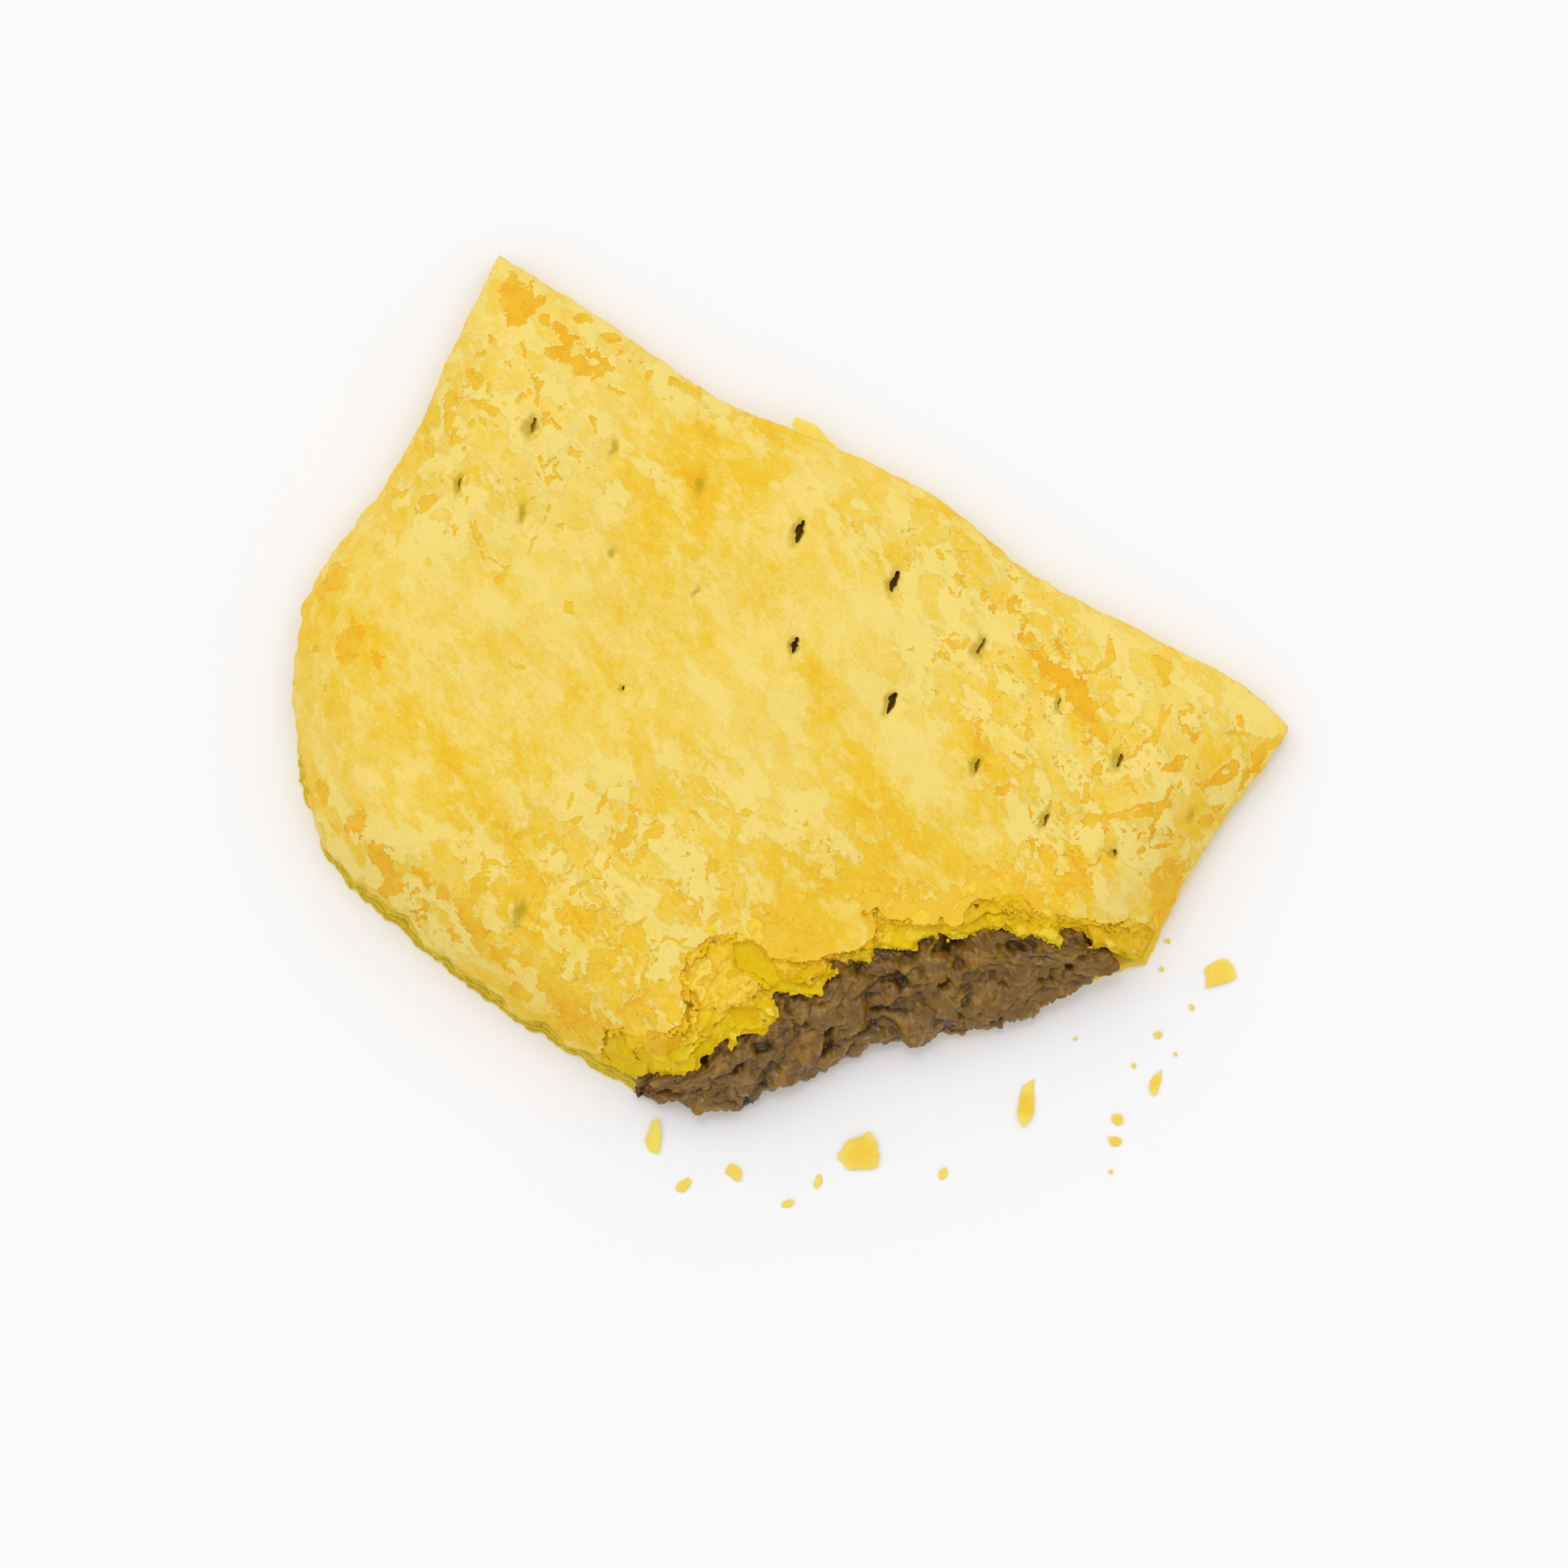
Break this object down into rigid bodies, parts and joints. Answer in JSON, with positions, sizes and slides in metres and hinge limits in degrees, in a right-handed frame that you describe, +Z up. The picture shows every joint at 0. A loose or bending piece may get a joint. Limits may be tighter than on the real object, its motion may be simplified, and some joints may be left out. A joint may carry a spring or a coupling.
{
  "type": "jamaican patty",
  "caption": "Half-moon savoury turnover in flaky yellow pastry with steam slits, bitten at one corner so that its brown minced filling shows.",
  "frame": {"origin": "on the plane the patty rests on, under the middle of its box", "axes": "+X along the straight folded side, +Y towards the folded side, +Z up through the domed top"},
  "size_m": [0.1452, 0.105, 0.0191],
  "materials": {
    "pastry": "dry flaky baked pastry, pale yellow skin over golden layers, toasted orange in patches",
    "minced_beef": "moist minced meat, dark brown with paler brown lumps, glossy where wet"
  },
  "bodies": {
    "root": {"crust": "pastry", "filling": "minced_beef"}
  },
  "joints": []
}
